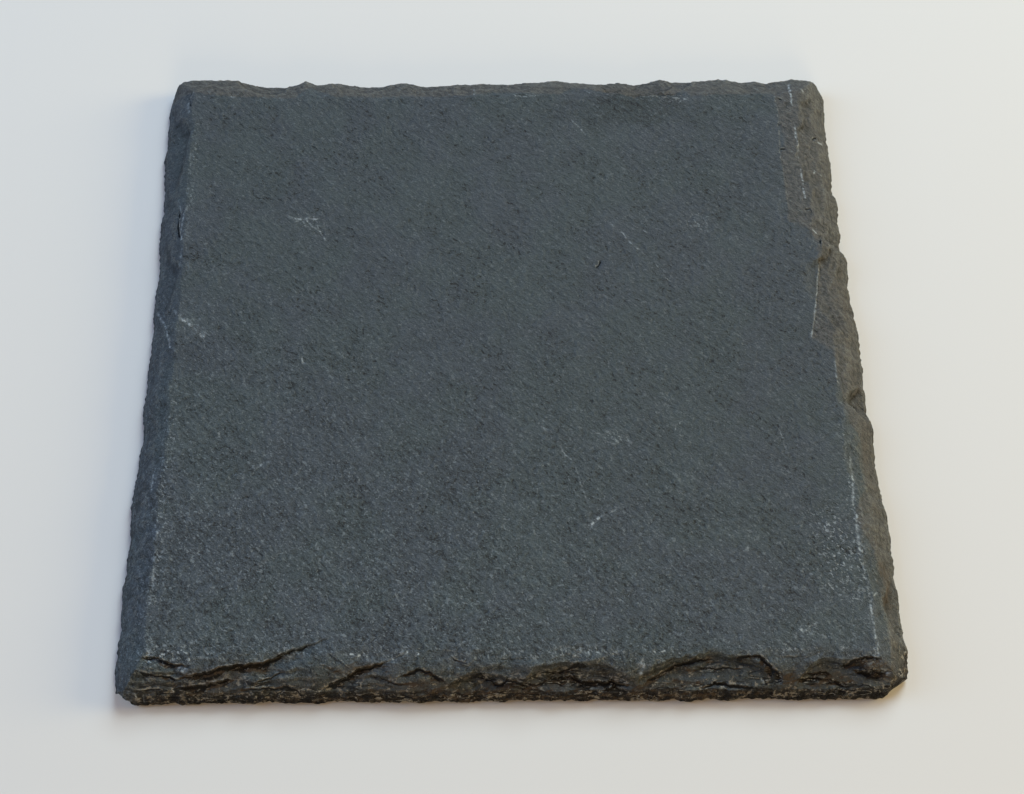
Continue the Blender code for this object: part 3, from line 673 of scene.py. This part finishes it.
def relief(x, y, ledges):
    """Height of the upper surface, with masks of how broken, cracked and lipped it is."""
    z = np.full(x.shape, THICK)
    rough, depth, crack, lip, rust = np.zeros((5, *x.shape))
    for edge, shape in EDGES.items():
        slope = bevel_height(edge, x, y)
        rough = np.where(slope < z, shape["rough"], rough)
        depth = np.where(slope < z, shape["chips"], depth)
        z = np.minimum(z, slope)
    for corner in CORNERS:
        z = np.minimum(z, table(CORNER_BEVEL, inside_corner(corner, x, y)))
    for flake in FLAKES:
        floor, rim = flake_height(flake, x, y)
        crack = np.where(floor < z - 0.05, np.maximum(crack, rim), crack)
        z = np.minimum(z, floor)
    broken = smooth((THICK - z) / 0.5)
    patchy = smooth(0.5 + 1.2 * noise(x, y, 5.0, 75))
    z = layered(z, x, y, rough * broken * patchy)
    z += depth * broken * (chips(x, y, 3.4, 91) + 0.3 * chips(x, y, 1.1, 93) - 0.6)
    for ledge in ledges:
        cut_ledge(ledge, x, y, z, crack, lip, rust)
    z = z + 0.12 * noise(x, y, 26.0, 81) + 0.05 * noise(x, y, 7.0, 83)
    z = np.maximum(z, RIM + 0.2 * noise(x, y, 3.0, 87))
    return z, {"broken": broken, "crack": crack, "lip": lip, "rust": rust}


def blot(x, y, spot, ragged):
    """Soft oval with a ragged border, 1 in its middle and 0 outside."""
    cx, cy, half_width, half_depth = spot[:4]
    ring = np.hypot((x - cx) / half_width, (y - cy) / half_depth)
    return smooth(1.25 - ring + ragged)


def strewn(x, y, spots, ragged):
    """The strongest of some blots at each point."""
    return np.max([spot[4] * blot(x, y, spot, ragged) for spot in spots], axis=0)


def specks():
    """The pale specks, each a very short scratch."""
    rng = np.random.default_rng(31)
    front = [(s, rng.uniform(-45.9, -45.2), rng.uniform(0.12, 0.22), 1.0) for s in FRONT_SPECKS]
    strokes = []
    for x, y, radius, strength in SPECKS + front:
        turn = rng.uniform(0, math.pi)
        dx, dy = radius * math.cos(turn), radius * math.sin(turn)
        strokes.append((strength, 0.6 * radius, (x - dx, y - dy), (x, y), (x + dx, y + dy)))
    return strokes


def marks(x, y, scratches):
    """Masks of scuffs, stain, fresh and fibrous stone, and how dark and coarse it is; some of the
    darkness is painted shade by the ledges.
    """
    scuff, fresh = np.zeros((2, *x.shape))
    chalk = 0.25 + 0.75 * smooth(0.5 + 1.8 * noise(x, y, 0.45, 105))
    for strength, half_width, path in scratches:
        i = near_path(path, 1.0, x, y)
        away = np.abs(along_path(path, x[i], y[i])[0]) + 0.08 * noise(x[i], y[i], 0.5, 107)
        line = (1 - smooth(away / (1.5 * half_width))) * chalk[i]
        scuff[i] = np.maximum(scuff[i], strength * line)
    dotted = strewn(x, y, SCUFFED, 0.5 * noise(x, y, 1.7, 111))
    stain = strewn(x, y, STAINS, 0.45 * noise(x, y, 2.2, 113) + 0.2 * noise(x, y, 0.7, 115))
    for edge, reach in FRESH.items():
        along, d = along_and_in(edge, x, y)
        border = table(reach, along) + 0.1 * noise(x, y, 0.8, 119) + 0.12 * noise(x, y, 2.4, 121)
        fresh = np.maximum(fresh, smooth((border - d) / 0.25))
    ragged = 0.4 * noise(x, y, 4.0, 117)
    tone = sum(spot[4] * blot(x, y, spot, ragged) for spot in TONES)
    stray = 1.3 * noise(x, y, 3.6, 141) + 0.5 * noise(x, y, 1.1, 143)
    from_left = x - TORN_FROM[0] - 0.5 * (y - TORN_FROM[1]) + 0.3 * stray
    fibrous = smooth((TORN_BELOW - y + stray) / 1.2) * smooth(from_left / 1.6)
    coarse = 0.55 + 0.75 * smooth((10.0 - 0.8 * y - 0.35 * x) / 60.0)
    return dict(scuff=scuff, dotted=dotted, stain=stain, fibrous=fibrous, fresh=fresh, tone=tone,
                coarse=coarse)


def run(start, end, step):
    """Evenly spaced places from start up to, but not on, end."""
    return np.linspace(start, end, round(abs(end - start) / step), endpoint=False)


def broken_corner(corner):
    """Ragged line across a corner."""
    start, end = np.array(corner)
    length = math.dist(start, end)
    ahead = (end - start) / length
    outward = np.array((ahead[1], -ahead[0]))
    line = start + run(0, length, OUTLINE_STEP)[1:, None] * ahead
    bite = 0.25 * noise(line[:, 0], line[:, 1], 2.2, 31)
    return line + bite[:, None] * outward


def outline():
    """Chipped outline of the base, walked counter-clockwise from the front left corner."""
    front_right, back_right, back_left, front_left = CORNERS
    parts = []
    for edge, before, after in (("front", front_left, front_right), ("right", front_right, back_right),
                                ("back", back_right, back_left), ("left", back_left, front_left)):
        axis = 0 if edge in ("front", "back") else 1
        s = run(before[1][axis], after[0][axis], OUTLINE_STEP)
        x, y = plan(edge, s, -proud(edge, s))
        parts.append(np.column_stack((x, y)))
        parts.append(broken_corner(after))
    return np.vstack(parts)


def rows_beside(line):
    """Rows of points along both sides of a line, which make it crisp."""
    ahead = np.gradient(line, axis=0)
    ahead /= np.maximum(np.hypot(*ahead.T), 1e-9)[:, None]
    right = np.column_stack((ahead[:, 1], -ahead[:, 0]))
    return np.vstack([line + off * right for off in LINE_ROWS])


def spaced(points, gap):
    """The points without those that crowd a cell of the given size."""
    _, first = np.unique(np.round(points / gap).astype(int), axis=0, return_index=True)
    return points[np.sort(first)]


def crowded(points, x, y):
    """Whether places share a cell, LINE_REACH wide, with one of the points."""
    width = round(4 * HALF / LINE_REACH)
    taken = np.zeros((width, width), bool)

    def cells(places):
        return tuple(np.round(places / LINE_REACH).astype(int) + width // 2)

    taken[cells(points.T)] = True
    return taken[cells(np.array((x, y)))]


def spread_points(lines):
    """Points over the slab's plan, closer together where the stone is more broken."""
    rng = np.random.default_rng(7)
    rows = spaced(np.vstack([rows_beside(line) for line in lines]), ROW_GAP)
    rows = rows[clear_of_outline(*rows.T) > ROW_GAP]
    kept = [rows]
    for zone, (across, deep, back) in ZONES.items():
        x, y = (g.ravel() for g in np.meshgrid(np.arange(-HALF - 1, HALF + 1, across),
                                               np.arange(-HALF - 1, back, deep)))
        x = x + rng.uniform(-0.25, 0.25, x.size) * across
        y = y + rng.uniform(-0.25, 0.25, y.size) * deep
        d = clear_of_outline(x, y)
        free = (d > 0.6 * deep) & ~crowded(rows, x, y)
        x, y, d = x[free], y[free], d[free]
        front = y < FRONT_BAND - HALF
        wall, edge = d < WALL_BAND, d < EDGE_BAND
        zones = np.select([front & wall, wall, front & edge, edge],
                          ["front rim", "rim", "front bevel", "bevel"], "face")
        kept.append(np.column_stack((x, y))[zones == zone])
    return np.vstack(kept)


def triangulate(rim, points):
    """Triangles that fill the rim, with corners at the points."""
    flat = [Vector(p) for p in np.vstack((rim, points))]
    loop = [(i, (i + 1) % len(rim)) for i in range(len(rim))]
    flat, _, faces, *_ = delaunay_2d_cdt(flat, loop, [], 1, 1e-6)
    return np.array(flat), np.array([tuple(f) for f in faces])


def neighbour_mean(values, faces, rounds):
    """Values evened out over the mesh, each round over one ring of neighbours."""
    ends = np.sort(np.vstack((faces[:, :2], faces[:, 1:], faces[:, ::2])), axis=1)
    a, b = np.unique(ends, axis=0).T
    count = np.bincount(a, minlength=len(values)) + np.bincount(b, minlength=len(values))
    for _ in range(rounds):
        total = np.bincount(a, values[b], len(values)) + np.bincount(b, values[a], len(values))
        values = (values + total) / (1 + count)
    return values


def underside(rim):
    """Cleft underside: it rests at height 0 and has shallow hollows."""
    places = np.arange(-HALF, HALF, BELOW_STEP)
    x, y = (g.ravel() for g in np.meshgrid(places, places))
    inner = np.column_stack((x, y))[clear_of_outline(x, y) > 2 * UNDERCUT + 0.5]
    flat, faces = triangulate(rim * (1 - UNDERCUT / HALF), inner)
    hollow = 0.1 * noise(*flat.T, 11.0, 121) + 0.05 * noise(*flat.T, 3.0, 123)
    return np.column_stack((flat, np.maximum(0, hollow))), faces[:, ::-1]


def crumble(x, y, z):
    """Plan of the points, with the layers' ragged ends standing out of the steep edges."""
    moved = np.column_stack((x, y))
    for edge, inward in INWARD.items():
        s, d = inside(edge, x, y)
        amount = 0.16 * noise(s, 6.0 * z + 0.8 * noise_along(s, 3.0, 131), 2.1, 133)
        amount += 0.14 * np.abs(noise(s, 7.0 * z, 0.8, 135))
        near = smooth((2.2 - d) / 1.2) * smooth((3.4 - z) / 1.6) * EDGES[edge]["crumble"]
        moved -= (near * amount)[:, None] * inward
    return moved


def slab_mesh():
    """Closed mesh of the slab with its masks."""
    ledges = [(drop, reach, wandering(path, 1.0)) for drop, reach, *path in LEDGES]
    scratches = [(strength, width, wandering(path, 0.5))
                 for strength, width, *path in SCRATCHES + specks()]
    lines = [ledge[2] for ledge in ledges] + [scratch[2] for scratch in scratches]
    lines += [flake_rim(flake) for flake in FLAKES if EDGES[flake[0]]["line"] > 0]
    rim = outline()
    flat, faces = triangulate(rim, spread_points(lines))
    x, y = flat.T
    z, masks = relief(x, y, ledges + small_ledges())
    masks.update(marks(x, y, scratches))
    # How far each point lies below its neighbours: the material paints shade where it lies low and a
    # highlight where it stands up.
    masks["hollow"] = np.clip((neighbour_mean(z, faces, 3) - z) / 0.06, -1, 1)
    below, below_faces = underside(rim)
    points = np.vstack((np.column_stack((crumble(x, y, z), z)), below))
    first = len(x)
    i = np.arange(len(rim))
    j = (i + 1) % len(rim)
    wall = np.column_stack((i, first + i, first + j, j))
    mesh = bpy.data.meshes.new("slab")
    mesh.from_pydata(points * MM, [], faces.tolist() + wall.tolist() + (below_faces + first).tolist())
    for name in MASKS:
        layer = mesh.attributes.new(name, "FLOAT", "POINT")
        layer.data.foreach_set("value", np.concatenate((masks[name], np.zeros(len(below)))))
    middle = flat[faces].mean(axis=1)
    crisp = (middle[:, 1] < CRISP_BELOW) & (masks["broken"][faces].mean(axis=1) > 0.2)
    rest = np.ones(len(mesh.polygons) - len(faces), bool)
    mesh.polygons.foreach_set("use_smooth", np.concatenate((~crisp, rest)))
    return mesh


def centre_on(mesh, low, high):
    """Shift the mesh so that its plan is centred as the solid's is."""
    points = np.empty(len(mesh.vertices) * 3)
    mesh.vertices.foreach_get("co", points)
    points = points.reshape(-1, 3)
    middle = (points.min(axis=0) + points.max(axis=0)) / 2
    points[:, :2] += ((np.array(low) + np.array(high)) / 2 - middle)[:2]
    mesh.vertices.foreach_set("co", points.ravel())
    mesh.update()


class Nodes:
    """Short ways to add nodes to a shader; all but add give the new socket."""

    def __init__(self, tree):
        self.tree = tree

    def add(self, kind, inputs=None, **settings):
        """Add a node of a kind; inputs are values, or sockets to link from."""
        node = self.tree.nodes.new("ShaderNode" + kind)
        for name, value in settings.items():
            setattr(node, name, value)
        for key, value in (inputs or {}).items():
            if isinstance(value, bpy.types.NodeSocket):
                self.tree.links.new(value, node.inputs[key])
            else:
                node.inputs[key].default_value = value
        return node

    def maths(self, operation, a, b=0.0, clamp=False):
        """One sum; clamp holds it between 0 and 1."""
        return self.add("Math", {0: a, 1: b}, operation=operation, use_clamp=clamp).outputs[0]

    def plus(self, a, b, clamp=False):
        return self.maths("ADD", a, b, clamp)

    def times(self, a, b, clamp=False):
        return self.maths("MULTIPLY", a, b, clamp)

    def most(self, a, b, clamp=False):
        return self.maths("MAXIMUM", a, b, clamp)

    def ramp(self, value, low, high):
        """Ease value from 0 at low to 1 at high."""
        inputs = {"Value": value, "From Min": low, "From Max": high}
        return self.add("MapRange", inputs, interpolation_type="SMOOTHSTEP").outputs[0]

    def band(self, value, middle, half):
        """1 where value is near middle: a thin winding line through a noise."""
        away = self.maths("ABSOLUTE", self.maths("SUBTRACT", value, middle))
        return self.ramp(away, half, 0.3 * half)

    def mix(self, share, a, b, blend="MIX"):
        inputs = {0: share, 6: a, 7: b}
        return self.add("Mix", inputs, data_type="RGBA", blend_type=blend).outputs[2]

    def coat(self, color, share, most, other):
        """Lay another colour over one, up to most of it where share is 1."""
        return self.mix(self.times(share, most), color, other)

    def mask(self, name):
        return self.add("Attribute", attribute_name=name).outputs["Fac"]

    def place(self):
        return self.add("TexCoord").outputs["Object"]

    def rise(self, vector):
        """The part of a vector that points up."""
        return self.add("SeparateXYZ", {0: vector}).outputs["Z"]

    def grain_space(self, stretch, turn):
        """Coordinates in metres, drawn out along a line at turn degrees."""
        place = self.place()
        turn = math.radians(turn)
        ux, uy = math.cos(turn), math.sin(turn)
        along = self.add("VectorMath", {0: place, 1: (ux, uy, 0)}, operation="DOT_PRODUCT")
        across = self.add("VectorMath", {0: place, 1: (uy, -ux, 0)}, operation="DOT_PRODUCT")
        shrunk = self.maths("DIVIDE", along.outputs["Value"], stretch)
        inputs = {0: shrunk, 1: across.outputs["Value"], 2: self.rise(place)}
        return self.add("CombineXYZ", inputs).outputs[0]

    def flat_space(self, squeeze):
        """Coordinates in metres, squeezed to draw a pattern out."""
        inputs = {0: self.place(), 1: squeeze}
        return self.add("VectorMath", inputs, operation="MULTIPLY").outputs["Vector"]

    def speckle(self, place, size, detail, rough, twist=0.0):
        """Noise from 0 to 1 with lumps of a size given in millimetres."""
        inputs = {"Vector": place, "Scale": 1 / (size * MM), "Detail": detail, "Roughness": rough,
                  "Distortion": twist}
        return self.add("TexNoise", inputs, noise_dimensions="3D").outputs["Fac"]


def face_color(n, p, m):
    """Split face: blue-grey, shaded by its grain, paler where fresh, with pits painted dark as shade,
    flecks partly painted glints, and painted highlights on crests.
    """
    color = n.mix(n.ramp(p["hue"], 0.38, 0.62), STONE_BLUE, STONE_GREY)
    shade = 0.0
    for name, low, high, weight in GRAIN_SHADES:
        shade = n.plus(shade, n.times(n.ramp(p[name], low, high), weight))
    shade = n.times(n.maths("SUBTRACT", shade, GRAIN_MIDDLE), m["coarse"])
    shade = n.plus(shade, n.times(m["tone"], TONE_WEIGHT))
    shade = n.most(n.plus(shade, 1.02), 0.1)
    tint = n.add("CombineColor", {0: shade, 1: shade, 2: shade}).outputs[0]
    color = n.mix(1.0, color, tint, "MULTIPLY")
    fresh = n.mix(n.ramp(p["dashes"], 0.37, 0.63), FRESH_DARK, FRESH_PALE)
    color = n.coat(color, m["fresh"], 0.75, fresh)

    # Pits, darkened as painted shade.
    pit = n.times(n.ramp(p["flecks"], 0.39, 0.32), n.ramp(p["patches"], 0.6, 0.42))
    color = n.coat(color, pit, 0.7, CRACK_SHADE)
    # Pale flecks of the grain, partly painted glints of sheen.
    sparks = n.most(n.ramp(p["flecks"], 0.62, 0.69), n.ramp(p["sparks"], 0.64, 0.71))
    color = n.mix(n.times(sparks, n.times(m["coarse"], 0.5)), color, FLECK_PALE)
    # Painted highlight: raised crests of the broken stone, above their neighbours, made paler.
    crest_highlight = n.times(n.ramp(m["hollow"], -0.2, -0.9), m["broken"])
    crest_highlight = n.times(crest_highlight, n.ramp(p["fine"], 0.35, 0.65))
    return n.coat(color, crest_highlight, 0.35, CREST_HIGHLIGHT_PALE), pit


def edge_color(n, p, m, color, steep, front):
    """Steep edges: iron stain, dark lines painted as shade between layers, front facets partly darkened
    as painted shade, and the front's crumbly brown foot.
    """
    rust = n.mix(n.ramp(p["fibres"], 0.35, 0.65), RUST_DARK, RUST_PALE)
    wall = n.times(steep, m["broken"])
    stain = n.times(n.plus(m["stain"], wall), n.plus(n.ramp(p["dashes"], 0.3, 0.6), 0.3))
    stain = n.times(stain, m["stain"], clamp=True)
    color = n.coat(color, stain, 0.8, rust)
    # Painted shade in the gaps between layers on the steep broken faces.
    color = n.coat(color, n.times(n.ramp(p["layers"], 0.52, 0.36), wall), 0.7, CRACK_SHADE)

    # Front facets: their own blue and olive hues, but darker than the stone, partly as painted shade,
    # more so lower down.
    facets = n.mix(n.ramp(p["facets"], 0.4, 0.6), FACET_BLUE, FACET_OLIVE)
    color = n.coat(color, front, 0.55, facets)
    height = n.rise(n.place())
    low = n.plus(n.ramp(height, FOOT_TOP * MM, 0.8 * MM), 0.45, clamp=True)
    foot = n.times(n.times(steep, front), low)
    crumbs = n.mix(n.ramp(p["crumbs"], 0.44, 0.58), CRACK_BROWN, WALL_BROWN)
    color = n.coat(color, foot, 0.92, crumbs)
    color = n.coat(color, n.times(n.ramp(p["crumbs"], 0.57, 0.65), front), 0.7, CRUMB_PALE)
    foot = n.most(foot, n.times(n.ramp(height, FOOT_TOP * MM, 1.4 * MM), front))
    # Painted shade in the gaps of the rubble at the foot.
    color = n.mix(n.times(n.ramp(p["rubble"], 0.52, 0.44), foot), color, SPLIT_SHADE)
    return n.coat(color, n.times(n.ramp(p["rubble"], 0.56, 0.62), foot), 0.72, CRUMB_PALE)


def crack_color(n, p, m, color, front):
    """Breaks: painted shade in hollows, torn brown fibres partly painted as shadow, thin splits painted
    near-black as shade with pale shards, and cracks painted dark as shade with pale lips that are partly
    painted highlights.
    """
    dark = n.mix(m["stain"], CRACK_SHADE, CRACK_BROWN)
    # Painted shade in the hollows of the broken stone, browner where stained.
    deep = n.times(n.ramp(m["hollow"], 0.3, 1.2), n.times(m["broken"], 0.4))
    color = n.mix(deep, color, dark)
    # The torn fibres follow that band below the ledges, so they are partly painted shadow.
    torn = n.plus(m["rust"], n.times(m["stain"], 0.42))
    torn = n.plus(torn, n.times(n.maths("SUBTRACT", p["streaks"], 0.5), 1.7))
    torn = n.times(n.ramp(torn, 0.32, 0.52), m["fibrous"])
    # Near-black painted shade between the torn fibres.
    fibre = n.mix(n.ramp(p["streaks"], 0.45, 0.6), SPLIT_SHADE, TORN_BROWN)
    fibre = n.coat(fibre, n.ramp(p["shreds"], 0.58, 0.68), 0.5, SHARD_PALE)
    color = n.coat(color, torn, 0.92, fibre)

    # Thin splits painted near-black as shade, with pale shards beside them.
    loose = n.times(n.ramp(p["openings"], 0.42, 0.54), front)
    split = n.times(n.band(p["splits"], 0.49, 0.045), loose)
    shard = n.times(n.band(p["splits"], 0.56, 0.026), loose)
    shard = n.times(shard, n.ramp(p["crumbs"], 0.44, 0.54))
    color = n.coat(color, split, 0.9, SPLIT_SHADE)
    color = n.coat(color, shard, 0.8, SHARD_PALE)

    # Painted shade in the cracks at the ledges and round the flakes.
    crack = n.ramp(n.plus(m["crack"], n.times(p["crumbs"], 1.2)), 0.95, 1.25)
    color = n.coat(color, crack, 0.95, dark)
    # Painted highlight along the ledges' lips, partly pale crumbs.
    lip = n.times(m["lip"], n.ramp(p["crumbs"], 0.49, 0.59))
    return n.coat(color, lip, 0.65, SHARD_PALE), split, n.plus(torn, crack, clamp=True)


def slate_material():
    """Blue-grey slate, grained and pitted, with dark cracks, pale scuffs and iron stain."""
    material = bpy.data.materials.new("slate")
    material.use_nodes = True
    n = Nodes(material.node_tree)
    p = {name: n.speckle(n.grain_space(stretch, turn), *noise)
         for name, (stretch, turn, *noise) in GRAIN_PATTERNS.items()}
    p |= {name: n.speckle(n.flat_space(squeeze), *noise)
          for name, (squeeze, *noise) in FLAT_PATTERNS.items()}
    m = {name: n.mask(name) for name in MASKS}
    steep = n.ramp(n.rise(n.add("NewGeometry").outputs["True Normal"]), 0.85, 0.45)
    front = n.times(m["fibrous"], n.ramp(n.rise(n.place()), 4.7 * MM, 2.4 * MM))

    color, pit = face_color(n, p, m)
    color = edge_color(n, p, m, color, steep, front)
    color, split, open_stone = crack_color(n, p, m, color, front)
    dots = n.times(m["dotted"], n.ramp(p["dots"], 0.555, 0.645))
    chalk = n.times(m["scuff"], n.plus(n.ramp(p["dashes"], 0.42, 0.56), 0.22))
    color = n.coat(color, n.most(chalk, dots, clamp=True), 0.9, SCUFF_PALE)

    height = n.plus(p["dashes"], n.times(p["fine"], 0.4))
    height = n.plus(height, n.times(p["lumps"], 0.9))
    height = n.maths("SUBTRACT", height, n.times(n.plus(pit, split), 0.35))
    height = n.plus(height, n.times(n.times(p["layers"], steep), 0.8))
    bump = n.add("Bump", {"Height": height, "Strength": 1.0, "Distance": GRAIN_DEPTH * MM})
    roughness = n.plus(n.times(p["dashes"], 0.2), 0.48)
    roughness = n.plus(roughness, n.times(m["broken"], 0.12))
    roughness = n.plus(roughness, n.times(open_stone, 0.3), clamp=True)

    shader = n.tree.nodes["Principled BSDF"]
    n.tree.links.new(color, shader.inputs["Base Color"])
    n.tree.links.new(roughness, shader.inputs["Roughness"])
    n.tree.links.new(bump.outputs[0], shader.inputs["Normal"])
    shader.inputs["Specular IOR Level"].default_value = STONE_SHINE
    return material


def put(name, data):
    """Add data to the scene as a new object."""
    thing = bpy.data.objects.new(name, data)
    bpy.context.scene.collection.objects.link(thing)
    return thing


def make_slab():
    """The stone itself, in the place of the CAD solid."""
    mesh = slab_mesh()
    centre_on(mesh, *cad_box)
    mesh.materials.append(slate_material())
    slab = put("slate_stone", mesh)
    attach(slab, "root")
    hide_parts(NODE)


def make_floor():
    """Plain pale table top."""
    material = bpy.data.materials.new("table")
    material.use_nodes = True
    shader = material.node_tree.nodes["Principled BSDF"]
    shader.inputs["Base Color"].default_value = FLOOR_COLOR
    shader.inputs["Roughness"].default_value = FLOOR_ROUGHNESS
    shader.inputs["Specular IOR Level"].default_value = FLOOR_SHINE
    bm = bmesh.new()
    bmesh.ops.create_grid(bm, x_segments=1, y_segments=1, size=FLOOR_SIZE / 2)
    mesh = bpy.data.meshes.new("table")
    bm.to_mesh(mesh)
    bm.free()
    mesh.materials.append(material)
    floor = put("table", mesh)
    floor.location.z = FLOOR_GAP


def make_light(name, place, size, power, color):
    """Soft square light that faces the slab."""
    light = bpy.data.lights.new(name, "AREA")
    light.size = size
    light.energy = power
    light.color = color
    lamp = put(name, light)
    lamp.location = place
    lamp.rotation_euler = (-Vector(place)).to_track_quat("-Z", "Y").to_euler()


def make_world():
    """Faint warm light from all round."""
    world = bpy.data.worlds.new("daylight")
    world.use_nodes = True
    sky = world.node_tree.nodes["Background"]
    sky.inputs["Color"].default_value = SKY_COLOR
    sky.inputs["Strength"].default_value = SKY_STRENGTH
    bpy.context.scene.world = world


def make_camera():
    """Camera that looks down on the slab from in front."""
    camera = bpy.data.cameras.new("camera")
    camera.lens = CAMERA_LENS
    camera.sensor_width = CAMERA_FILM
    eye = put("camera", camera)
    eye.location = CAMERA_PLACE
    eye.rotation_euler = [math.radians(a) for a in CAMERA_TURN]
    bpy.context.scene.camera = eye


make_camera()
make_slab()
make_floor()
make_world()
for lamp in LAMPS:
    make_light(*lamp)
bpy.context.scene.view_settings.view_transform = "Standard"
